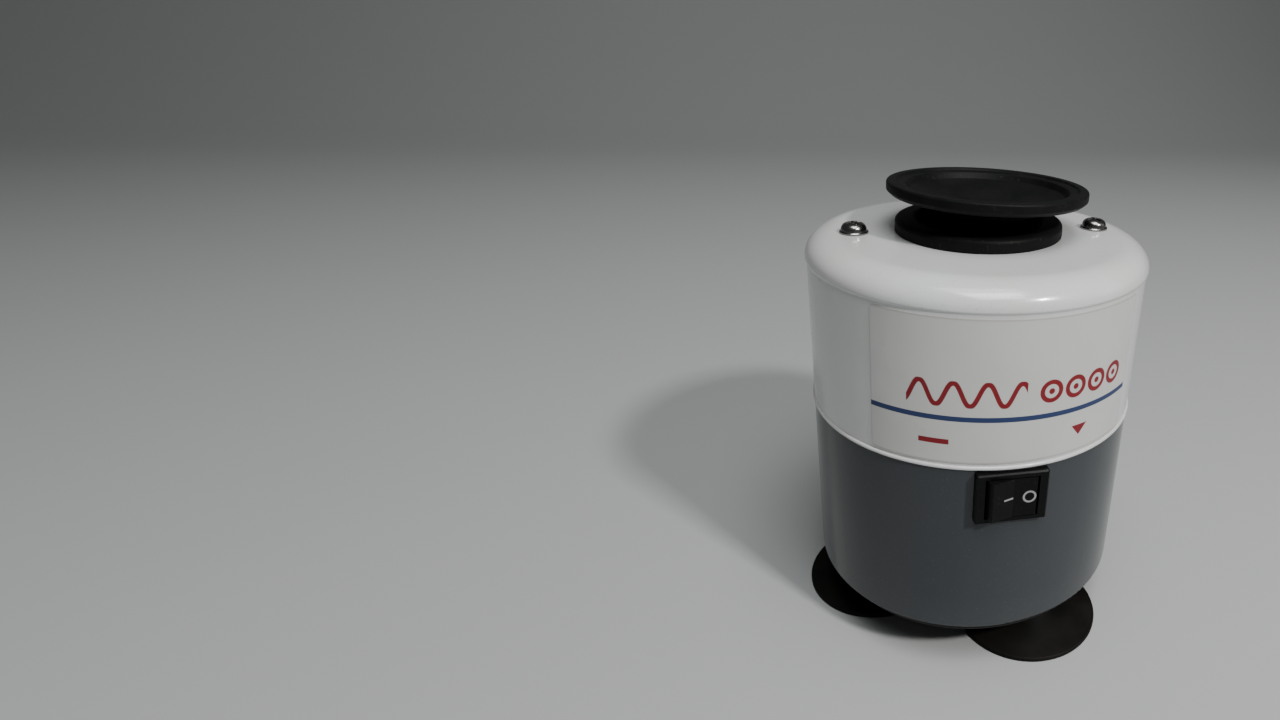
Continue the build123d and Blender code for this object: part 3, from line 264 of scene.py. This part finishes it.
dome = quarter_ellipse(shoulder_w, shoulder_h)
inner_dome = quarter_ellipse(shoulder_w - wall - bulge, shoulder_h - wall)[::-1]
roll_from, roll_to = -0.62 * math.pi, 0.46 * math.pi
roll = np.linspace(roll_from, roll_to, 18)
bead_r = body_r + bead_proud - bead
hem = np.stack([bead_r + bead * np.cos(roll), seam + bead + bead * np.sin(roll)], 1)
crease_out = np.array([0, 0.02, 0.3, 0.56])
crease_drop = np.array([1.5, 1.15, 0.7, 0.3])
crease = np.stack([body_r + crease_out, shoulder_z - crease_drop], 1)
opening = np.array(
    [[opening_r + opening_edge, top], [opening_r, top - opening_edge], [opening_r, top - wall]]
)
inner = np.array([[body_r - wall, seam]])
cover_outline = np.concatenate([hem, crease, dome, opening, inner_dome, inner])
cover = revolved("enamel_cover", cover_outline, turns=256)


def white_enamel():
    """Stoved enamel: faint orange peel, yellowing in broad patches, fingerprints in the gloss."""
    peel = noise(900.0, 2.0)
    patches = noise(26.0, 3.0)
    smears = noise(120.0, 4.0, (1, 1, 0.35))
    specks = noise(1500.0, 1.0).within(0.69, 0.9, 0.03)
    height = place_along("Z")
    grime = height.within(seam - 1.0, seam + 2.4, 1.6) * noise(300.0, 4.0).math("MULTIPLY", 0.8)
    tone = blend_colours(patches.within(0.45, 0.9, 0.3), (0.70, 0.715, 0.725), (0.66, 0.665, 0.655))
    tone = blend_colours(specks * 0.35, tone, (0.36, 0.34, 0.31))
    tone = blend_colours(grime * 0.35, tone, (0.36, 0.34, 0.31))
    return {
        "Base Color": tone,
        "Roughness": 0.15 + smears * 0.12 + specks * 0.2,
        "Normal": bump(peel, 0.32, 0.05),
    }


enamel_white = material("white_enamel", white_enamel, Coat_Weight=0.6, Coat_Roughness=0.04, IOR=1.5)
dress(cover, enamel_white, "root", "white_enamel", "upper_cover")


# ---------------------------------------------------------------- lower shell and base plate
# Drawn steel can in blue-grey enamel with a turned-in lip, and the black painted plate that
# closes it from below.  Their sheet shapes come from the frame; only the paint is made here.
def grey_enamel():
    """The same enamel in slate grey, duller in long upright wipes, dusty toward the bottom edge."""
    peel = noise(820.0, 2.0)
    wipes = noise(60.0, 3.0, (1, 1, 0.16))
    specks = noise(1300.0, 1.0).within(0.70, 0.9, 0.03)
    dust = place_along("Z").within(10.0, 31.0, 14.0) * noise(420.0, 4.0)
    tone = blend_colours(wipes.within(0.4, 0.9, 0.4), (0.037, 0.042, 0.049), (0.042, 0.046, 0.052))
    tone = blend_colours(specks * 0.12 + dust * 0.10, tone, (0.16, 0.155, 0.145))
    return {
        "Base Color": tone,
        "Roughness": 0.13 + wipes * 0.1 + specks * 0.06,
        "Normal": bump(peel, 0.34, 0.05),
    }


def black_paint():
    """Satin black paint on a turned plate, rubbed thin in fine rings and dusty."""
    rings = noise(240.0, 3.0)
    dust = noise(90.0, 4.0)
    return {
        "Base Color": blend_colours(
            dust.within(0.5, 0.9, 0.3), (0.006, 0.006, 0.0065), (0.014, 0.0135, 0.013)
        ),
        "Roughness": 0.38 + rings * 0.2,
        "Normal": bump(rings, 0.25, 0.06),
    }


enamel_grey = material(
    "grey_enamel",
    grey_enamel,
    Specular_IOR_Level=0.3,
    Coat_Weight=0.14,
    Coat_Roughness=0.1,
    IOR=1.45,
)
paint_black = material("black_paint", black_paint, Specular_IOR_Level=0.2, IOR=1.48)


# ---------------------------------------------------------------- label
# Printed vinyl film stuck round the front of the cover, with small rounded corners, a blue
# rule from edge to edge and red marks above and below it: a wave, rings and mode signs.
low, high = (np.array(c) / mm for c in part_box("label_panel"))
film_t, film_gap = 0.25, 0.02
label_low, label_high, label_r = low[2], high[2], body_r + film_t
label_h = label_high - label_low
label_half = math.asin(min(1.0, high[0] / label_r))
corner, lower_part = 1.5, 25
corner_rows = corner * (1 - np.cos(np.linspace(0, math.pi / 2, 9)))
v = np.concatenate([corner_rows, np.linspace(corner, lower_part, 14)[1:]])
v = np.concatenate([v, label_h - v[::-1]])
edge = np.minimum(np.minimum(v, label_h - v), corner)
inset = corner - np.sqrt(np.maximum(corner**2 - (corner - edge) ** 2, 0))
u = np.linspace(-1, 1, 121)
turn = u[None, :] * (label_half - inset[:, None] / label_r)
height = label_low + v[:, None] + 0 * turn
ripple = 0.03 * np.sin(turn * 9 + height * 0.11) * np.cos(height * 0.23)


def sheet_points(radius):
    """A cylinder patch: (R sin a, -R cos a, z) for angle a from the front and height z."""
    return np.stack([radius * np.sin(turn), -radius * np.cos(turn), height], -1).reshape(-1, 3)


def shell_faces(rows, columns):
    """Quads of an outer grid, the same grid inside it turned round, and the four borders between."""
    i, j = np.meshgrid(np.arange(rows - 1), np.arange(columns - 1), indexing="ij")
    a = (i * columns + j).ravel()
    outer = np.stack([a, a + 1, a + columns + 1, a + columns], 1)
    inner = outer[:, ::-1] + rows * columns
    grid = np.arange(rows * columns).reshape(rows, columns)
    rim = np.concatenate([grid[0, :-1], grid[:-1, -1], grid[-1, :0:-1], grid[:0:-1, 0]])
    following = np.roll(rim, -1)
    border = np.stack([rim, rim + rows * columns, following + rows * columns, following], 1)
    return np.concatenate([outer, inner, border])


film = finish_mesh(
    "printed_label",
    np.concatenate([sheet_points(label_r + ripple), sheet_points(body_r + film_gap)]) * mm,
    shell_faces(*turn.shape),
)


def printed_film():
    """Off-white film: a blue rule, a red wave of four swings, four red rings, a dash and a
    pointer below the rule for the two modes, a soft edge and a few trapped bubbles."""
    x, y, z = (place_along(axis) for axis in "XYZ")
    rise = z - label_low
    around = Value.node("ShaderNodeMath", {0: x, 1: y * -1.0}, operation="ARCTAN2") * body_r
    rule = rise.within(16.3, 18.2, 0.12)
    swing_h, swing_w, level = 4.0, 11.4, 26.4
    phase = around * (2 * math.pi / swing_w) + 0.9
    slope = phase.math("COSINE") * (swing_h * 2 * math.pi / swing_w)
    off_wave = (rise - (phase.math("SINE") * swing_h + level)).math("ABSOLUTE")
    off_wave = off_wave.math("DIVIDE", (slope * slope + 1.0).math("SQRT"))
    wave = off_wave.within(-1.0, 0.85, 0.2) * around.within(-37.5, 3.0, 0.2)
    ring_pitch, ring_start, ring_end = 9.6, 7.0, 45.2
    across_ring = (around - ring_start).math("MODULO", ring_pitch) - ring_pitch / 2
    up_ring = rise - level
    radius = (across_ring * across_ring + up_ring * up_ring).math("SQRT")
    ring_inner, ring_outer, dot_r = 2.6, 4.3, 1.1
    rings = radius.within(ring_inner, ring_outer, 0.2) + radius.within(-1.0, dot_r, 0.2)
    rings = rings * around.within(ring_start + 0.2, ring_end, 0.1)
    dash = rise.within(7.2, 9.2, 0.15) * around.within(-33.0, -22.5, 0.2)
    pointer_low, pointer_high, pointer_at = 6.4, 10.6, 25.0
    pointer = (around - pointer_at).math("ABSOLUTE") * 1.2 + (pointer_high - rise)
    arrow = pointer.within(-9.0, pointer_high - pointer_low, 0.2)
    arrow = arrow * rise.within(pointer_low, pointer_high, 0.15)
    red = (wave + rings + dash + arrow).math("MINIMUM", 1.0)
    fibres = noise(700.0, 3.0)
    patches = noise(34.0, 3.0)
    bubbles = noise(230.0, 1.0).within(0.70, 1.0, 0.1)
    rim = 1 - around.within(-51.1, 51.1, 0.5) * rise.within(0.6, label_h - 0.5, 0.5)
    tone = blend_colours(patches.within(0.4, 0.8, 0.4), (0.60, 0.60, 0.595), (0.565, 0.56, 0.55))
    tone = blend_colours(rule * 0.97, tone, (0.009, 0.028, 0.11))
    tone = blend_colours(red * (0.96 + fibres * 0.04), tone, (0.21, 0.003, 0.010))
    tone = blend_colours(rim * 0.35, tone, (0.25, 0.22, 0.18))
    return {
        "Base Color": tone,
        "Roughness": 0.36 + fibres * 0.1 - red * 0.05,
        "Normal": bump(fibres * 0.3 + bubbles, 0.3, 0.08),
    }


label_film = material("label_film", printed_film, Specular_IOR_Level=0.25, IOR=1.46)
dress(film, label_film, "root", "label_film", "label_panel")

# ---------------------------------------------------------------- rubber cup
# Moulded black rubber cup pushed on the orbiting hub: a stem, a flange, a thin cone and a
# rounded rim with a fine lip inside it.  It leans a little, as the soft stem lets it.
lean, lean_heading = math.radians(1.85), math.radians(40.0)
pin_x = 2.5
pivot = np.array([pin_x, 0, top - 4.6])
lean_way = np.array([math.cos(lean_heading), math.sin(lean_heading), 0])
lean_up = math.sin(lean) * lean_way + np.array([0, 0, math.cos(lean)])
lean_x = np.cross([0, 1, 0], lean_up)
lean_x /= np.linalg.norm(lean_x)
lean_frame = np.column_stack([lean_x, np.cross(lean_up, lean_x), lean_up])
cup_r, rim = 38.0, 22.28
bowl_edge, bowl_edge_depth, bowl_depth = 29.5, 3.3, 8.0
socket_r, stem_r, flange_r, foot = 12.4, 16.8, 20.5, 0.7
cup_corners = [
    (socket_r, foot, 0.05),
    (stem_r, foot, 0.4),
    (stem_r, rim - 9.6, 0.9),
    (flange_r, rim - 9.6, 0.5),
    (flange_r, rim - 8.2, 0.8),
    (cup_r - 1.6, rim - 4.6, 1.4),
    (cup_r, rim - 3.2, 0.8),
    (cup_r, rim, 0.95),
    (34.6, rim, 0.5),
    (34.2, rim - 0.7, 0.2),
    (31.0, rim - 1.05, 0.6),
    (bowl_edge + 0.25, rim - bowl_edge_depth + 0.1, 0.5),
]
bowl_sag = bowl_depth - bowl_edge_depth
bowl_r = (bowl_edge**2 + bowl_sag**2) / (2 * bowl_sag)
across = np.linspace(bowl_edge - 0.6, 0, 26)
bowl = np.stack([across, rim - bowl_depth + bowl_r - np.sqrt(bowl_r**2 - across**2)], 1)
socket_depth = 10.6
socket = np.array([[0, rim - socket_depth], [socket_r, rim - socket_depth]])
cup_outline = np.concatenate([rounded(cup_corners), bowl, socket])
cup = revolved("rubber_cup_skin", cup_outline, pivot, lean_frame)


def black_rubber():
    """Matt black rubber: fine moulded grain, chalky bloom in patches, shine where it is handled."""
    grain = noise(2600.0, 2.0)
    bloom = noise(70.0, 4.0)
    lint = noise(1100.0, 1.0, (1, 1, 0.4)).within(0.70, 1.0, 0.02)
    fresh, chalky = (0.0045, 0.0048, 0.0050), (0.0085, 0.0088, 0.0086)
    tone = blend_colours(bloom.within(0.42, 0.85, 0.4), fresh, chalky)
    tone = blend_colours(lint * 0.18, tone, (0.08, 0.078, 0.072))
    return {
        "Base Color": tone,
        "Roughness": 0.40 + bloom * 0.14 + grain * 0.06,
        "Normal": bump(grain, 0.3, 0.05),
    }


rubber = material("black_rubber", black_rubber, Specular_IOR_Level=0.08, IOR=1.5)
dress(cup, rubber, "head", "black_rubber", "rubber_cup")

# ---------------------------------------------------------------- collar round the opening
# Stationary rubber collar plugged into the cover's opening: a thick rounded outer edge, a flat
# land, and a thin web that reaches in toward the orbiting stem.
collar_r, collar_plug_r, collar_hole_r = 32.0, 24.2, 20.7
collar_foot, collar_top, web = top + 0.01, top + 5.0, top + 1.6
collar_corners = [
    (collar_plug_r, top - wall, 0.2),
    (collar_plug_r, collar_foot, 0.005),
    (collar_r, collar_foot, 0.3),
    (collar_r, collar_top, 1.9),
    (24.9, collar_top, 0.9),
    (23.2, web, 0.7),
    (collar_hole_r, web, 0.5),
    (collar_hole_r, top - wall, 0.3),
]
collar = revolved("collar_skin", rounded(collar_corners))
dress(collar, rubber, "root", "black_rubber", "support_ring")


# ---------------------------------------------------------------- suction feet
# Three moulded suction cups: a thin lip that seals on the bench, a flared skirt and a boss with
# the stud inside.  Softer, dustier rubber than the cup's.
def foot_rubber():
    """Dusty rubber: moulded grain, brown dust that gathers low on the skirt."""
    grain = noise(1900.0, 2.0)
    clouds = noise(80.0, 4.0)
    dust = place_along("Z").within(-4.0, 5.0, 6.0) * clouds
    clean, worn = (0.0040, 0.0040, 0.0041), (0.0072, 0.0070, 0.0068)
    tone = blend_colours(clouds.within(0.4, 0.9, 0.5), clean, worn)
    tone = blend_colours(dust * 0.2, tone, (0.05, 0.043, 0.036))
    return {"Base Color": tone, "Roughness": 0.42 + clouds * 0.18, "Normal": bump(grain, 0.35, 0.06)}


rubber_foot = material("foot_rubber", foot_rubber, Specular_IOR_Level=0.05, IOR=1.48)
for foot_name in ("foot_left", "foot_front", "foot_rear"):
    low, high = (np.array(c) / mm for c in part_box(foot_name))
    foot_r, foot_top = (high[0] - low[0]) / 2, high[2]
    fall = np.linspace(0, 1, 26)
    skirt_r = foot_r - 0.5 + (9.2 - foot_r) * fall**0.9
    skirt = np.stack([skirt_r, 2.0 + (foot_top - 7.0) * fall**1.7], 1)
    lip_inner = foot_r - 2.6
    lip_low = [(lip_inner, 0, 0.3), (foot_r, 0, 0.5)]
    lip_high = [(foot_r, 1.6, 0.7), (foot_r - 0.8, 2.2, 0.4)]
    lip = rounded(lip_low + lip_high, 5)
    boss = np.array([[8.5, foot_top - 4.2], [8.5, foot_top - 0.5], [8.0, foot_top]])
    stud_r, seat_r, seat_top, seat_low = 3.0, 5.5, foot_top - 5, foot_top - 7
    stud_hole = np.array([[stud_r, foot_top], [stud_r, seat_top]])
    seat = np.array([[seat_r, seat_top], [seat_r, seat_low], [0, seat_low]])
    under = np.linspace(0, foot_r - 3.2, 24)
    hollow = np.stack([under, 3.8 * np.cos(under / lip_inner * math.pi / 2)], 1)
    outline = np.concatenate([lip, skirt[1:], boss, stud_hole, seat, hollow])
    middle = ((low[0] + high[0]) / 2, (low[1] + high[1]) / 2, 0)
    foot = revolved(foot_name + "_skin", outline, middle, turns=128)
    dress(foot, rubber_foot, "root", "foot_rubber", foot_name)


# ---------------------------------------------------------------- rocker switch
# Snap-in panel switch in glossy black plastic.  The rocker's two facets carry the usual pale
# stroke and ring; its right side is pressed in at rest.
def glossy_plastic():
    """Glossy black moulding: faint flow marks, hairline scratches and dust."""
    flow = noise(55.0, 3.0, (1, 1, 3))
    hairs = noise(2100.0, 2.0, (0.08, 1, 1)).within(0.66, 1.0, 0.04)
    dust = noise(1700.0, 1.0).within(0.70, 1.0, 0.03)
    return {
        "Base Color": blend_colours(dust * 0.2, (0.0045, 0.0045, 0.0050), (0.10, 0.098, 0.095)),
        "Roughness": 0.30 + flow * 0.1 + hairs * 0.12,
        "Normal": bump(flow, 0.2, 0.08),
    }


def marked_rocker():
    """The same plastic with a pale lying stroke on the left facet and a pale ring on the right."""
    parts = glossy_plastic()
    x, z = place_along("X"), place_along("Z")
    middle = sum(float(c[2]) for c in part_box("rocker")) / 2 / mm
    z = z - middle
    ring_x, face_from, face_to = 6.3, 62.5, 80.0
    radius = ((x - ring_x) * (x - ring_x) + z * z).math("SQRT")
    ring = radius.within(1.75, 2.5, 0.12)
    stroke = x.within(-3.2, 0.3, 0.1) * z.within(-0.36, 0.36, 0.1)
    front = (place_along("Y") * -1.0).within(face_from, face_to, 0.1)
    mark = (ring + stroke).math("MINIMUM", 1.0) * front
    parts["Base Color"] = blend_colours(mark * 0.9, parts["Base Color"], (0.36, 0.37, 0.37))
    parts["Roughness"] = parts["Roughness"] + mark * 0.25
    return parts


plastic_black = material("black_plastic", glossy_plastic, Specular_IOR_Level=0.09, IOR=1.5)
plastic_marked = material("rocker_plastic", marked_rocker, Specular_IOR_Level=0.09, IOR=1.5)


# ---------------------------------------------------------------- metal and plastic inside
# Plated screws, ground shafts, cast brackets, stacked laminations, wound copper and small
# plastic pieces.  Their shapes come from the frame; each gets the finish of its trade.
def metal(tone_a, tone_b, rough, grain, stretch, ridges):
    """A metal whose tone and gloss vary along a grain; ridges adds one line a millimetre up Z."""

    def build():
        streaks = noise(grain, 3.0, stretch)
        stain = noise(45.0, 4.0)
        parts = {
            "Base Color": blend_colours(stain.within(0.35, 0.8, 0.4), tone_a, tone_b),
            "Roughness": rough + streaks * 0.16 + stain * 0.06,
        }
        height = streaks
        if ridges:
            lines = (place_along("Z") * (2 * math.pi * ridges)).math("SINE") * 0.5 + 0.5
            height = streaks * 0.3 + lines
            shade = tuple(0.4 * c for c in tone_a)
            parts["Base Color"] = blend_colours(lines * 0.4, parts["Base Color"], shade)
        parts["Normal"] = bump(height, 0.35, 0.05)
        return parts

    return build


def moulded(tone_a, tone_b, rough):
    """A plain plastic moulding with a fine texture and uneven colour."""

    def build():
        grain = noise(1600.0, 2.0)
        cloud = noise(60.0, 3.0)
        return {
            "Base Color": blend_colours(cloud.within(0.4, 0.8, 0.4), tone_a, tone_b),
            "Roughness": rough + grain * 0.12,
            "Normal": bump(grain, 0.25, 0.04),
        }

    return build


# name: first tone, second tone, roughness, grain per metre, stretch of the grain, lines per mm
metals = {
    "chrome_screw": ((0.36, 0.355, 0.35), (0.24, 0.235, 0.23), 0.14, 900.0, (1, 1, 1), 0.0),
    "zinc_steel": ((0.55, 0.55, 0.53), (0.40, 0.41, 0.38), 0.3, 500.0, (1, 1, 1), 0.0),
    "bearing_steel": ((0.60, 0.60, 0.60), (0.50, 0.50, 0.49), 0.12, 2400.0, (1, 1, 0.1), 0.0),
    "cast_aluminium": ((0.60, 0.61, 0.62), (0.48, 0.49, 0.50), 0.42, 700.0, (1, 1, 1), 0.0),
    "lamination_steel": ((0.26, 0.26, 0.28), (0.18, 0.16, 0.15), 0.4, 400.0, (1, 1, 1), 2.0),
    "copper_winding": ((0.62, 0.25, 0.09), (0.40, 0.14, 0.05), 0.26, 300.0, (1, 1, 4), 1.6),
    "bronze": ((0.55, 0.36, 0.14), (0.42, 0.27, 0.11), 0.36, 1500.0, (1, 1, 1), 0.0),
    "tinned_brass": ((0.62, 0.57, 0.42), (0.52, 0.44, 0.28), 0.26, 800.0, (1, 0.2, 1), 0.0),
    "can_aluminium": ((0.66, 0.67, 0.68), (0.57, 0.58, 0.59), 0.24, 900.0, (0.1, 1, 1), 0.0),
    "spring_steel": ((0.34, 0.34, 0.35), (0.24, 0.23, 0.22), 0.26, 1200.0, (1, 1, 1), 0.0),
}
plastics = {
    "nylon": ((0.66, 0.64, 0.55), (0.60, 0.57, 0.47), 0.4),
    "grey_plastic": ((0.035, 0.036, 0.038), (0.05, 0.05, 0.05), 0.42),
}
finishes = {
    "grey_enamel": enamel_grey,
    "black_paint": paint_black,
    "black_rubber": rubber,
    "foot_rubber": rubber_foot,
    "black_plastic": plastic_black,
}
for name, values in metals.items():
    finishes[name] = material(name, metal(*values), Metallic=1.0)
for name, values in plastics.items():
    finishes[name] = material(name, moulded(*values), IOR=1.5)
by_node = {"rocker": plastic_marked}
for part in frame["record"]["subparts"]:
    finish = by_node.get(part["node"], finishes.get(part["material_slot"]))
    node = nodes[part["node"]]
    if finish is not None and node.type == "MESH":
        node.data.materials.clear()
        node.data.materials.append(finish)

# ---------------------------------------------------------------- cover screws
# Two plated pan-head screws with a cross recess: a flat-topped crown on a plain washer, and the
# shank that goes down to the pillar.
low, high = (np.array(c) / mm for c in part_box("cover_screws"))
crown_r, crown_h, shank_r = 4.8, 3.08, 2.0
seat_z = high[2] - 3.1
shank_foot = low[2] - seat_z
recess_depth, recess_turn, recess_above = 1.5, math.radians(25), 1.7
slot_half, slot_wall, arm_reach, arm_wall = 0.75, 0.25, 3.1, 0.4


def cross_recess(x, y, z):
    """How far the crown is lowered: two crossed slots with sloping side and end walls."""
    cosine, sine = math.cos(recess_turn), math.sin(recess_turn)
    u, v = np.abs(x * cosine + y * sine), np.abs(y * cosine - x * sine)
    side_walls = np.clip((slot_half - np.minimum(u, v)) / slot_wall, 0, 1)
    end_walls = np.clip((arm_reach - np.maximum(u, v)) / arm_wall, 0, 1)
    return recess_depth * (side_walls * end_walls) * (z > recess_above)


spread = np.linspace(0, 1, 56)
crown = np.stack([crown_r * spread, crown_h * (1 - spread**3.4) ** (1 / 2.4)], 1)
shank_end = shank_foot + 0.01
tip_r, tip_edge = shank_r - 0.5, shank_end + 0.5
shank = np.array([[shank_r, 0.0], [shank_r, tip_edge], [tip_r, shank_end], [0, shank_end]])
profile = np.concatenate([crown, shank])
screw_x = high[0] - crown_r
sides = [turned(profile, (x, 0, seat_z), None, 160, cross_recess) for x in (-screw_x, screw_x)]
heads = finish_mesh(
    "cover_screw_heads",
    np.concatenate([points for points, _ in sides]),
    np.concatenate([sides[0][1], sides[1][1] + len(sides[0][0])]),
)
dress(heads, finishes["chrome_screw"], "root", "chrome_screw", "cover_screws")

# ---------------------------------------------------------------- floor and light
# A plain pale sweep under the mixer, a small bright lamp high on the front right that draws the
# upright streak and the cup's shadow, and broad soft lamps for the rest.
floor_mesh = bpy.data.meshes.new("floor")
bend_start, bend_r, floor_near, flat_rows = 1.2, 1.2, -3, 8
bend = np.linspace(0.1, math.pi / 2, 20)
flat = np.linspace(floor_near, bend_start, flat_rows)
run = np.concatenate([flat, bend_start + bend_r * np.sin(bend)])
rise = np.concatenate([np.zeros(flat_rows), bend_r - bend_r * np.cos(bend)])
side = np.array([-4.0, 4.0])
sweep = np.stack(np.broadcast_arrays(side[None, :], run[:, None], rise[:, None]), -1).reshape(-1, 3)
k = np.arange(len(run) - 1) * 2
floor_mesh.from_pydata(sweep.tolist(), [], np.stack([k, k + 1, k + 3, k + 2], 1).tolist())
floor_mesh.polygons.foreach_set("use_smooth", [True] * len(floor_mesh.polygons))
floor = bpy.data.objects.new("floor", floor_mesh)
bpy.context.collection.objects.link(floor)
floor_tone = (0.42, 0.435, 0.43)
floor_mesh.materials.append(
    material("floor_paper", lambda: {"Roughness": 0.6 + noise(8.0) * 0.1}, Base_Color=floor_tone)
)
aim = np.array([0, 0, 0.1])


def lamp(name, heading, elevation, distance, size, power, colour=(1, 1, 1)):
    """An area lamp aimed at the mixer, heading measured from the front toward the right."""
    light = bpy.data.lights.new(name, "AREA")
    light.size, light.energy, light.color = size, power, colour
    made = bpy.data.objects.new(name, light)
    a, e = math.radians(heading), math.radians(elevation)
    toward = np.array([math.sin(a) * math.cos(e), -math.cos(a) * math.cos(e), math.sin(e)])
    side_way = np.array([math.cos(a), math.sin(a), 0])
    turn_to = np.column_stack([side_way, np.cross(toward, side_way), toward])
    spot = Matrix.Translation(toward * distance + aim)
    made.matrix_world = spot @ Matrix(turn_to.tolist()).to_4x4()
    bpy.context.collection.objects.link(made)


lamp("key", 36, 42, 1.5, 0.12, 17, (1.0, 0.985, 0.955))
lamp("front", 8, 66, 1.6, 0.7, 11, (0.97, 0.985, 1.0))
lamp("overhead", 10, 80, 1.5, 0.8, 7.5)
lamp("right_fill", 80, 18, 1.6, 0.7, 0.8)
world = bpy.data.worlds.new("studio")
world.use_nodes = True
world.node_tree.nodes["Background"].inputs["Color"].default_value = (0.80, 0.83, 0.82, 1)
world.node_tree.nodes["Background"].inputs["Strength"].default_value = 0.07
bpy.context.scene.world = world
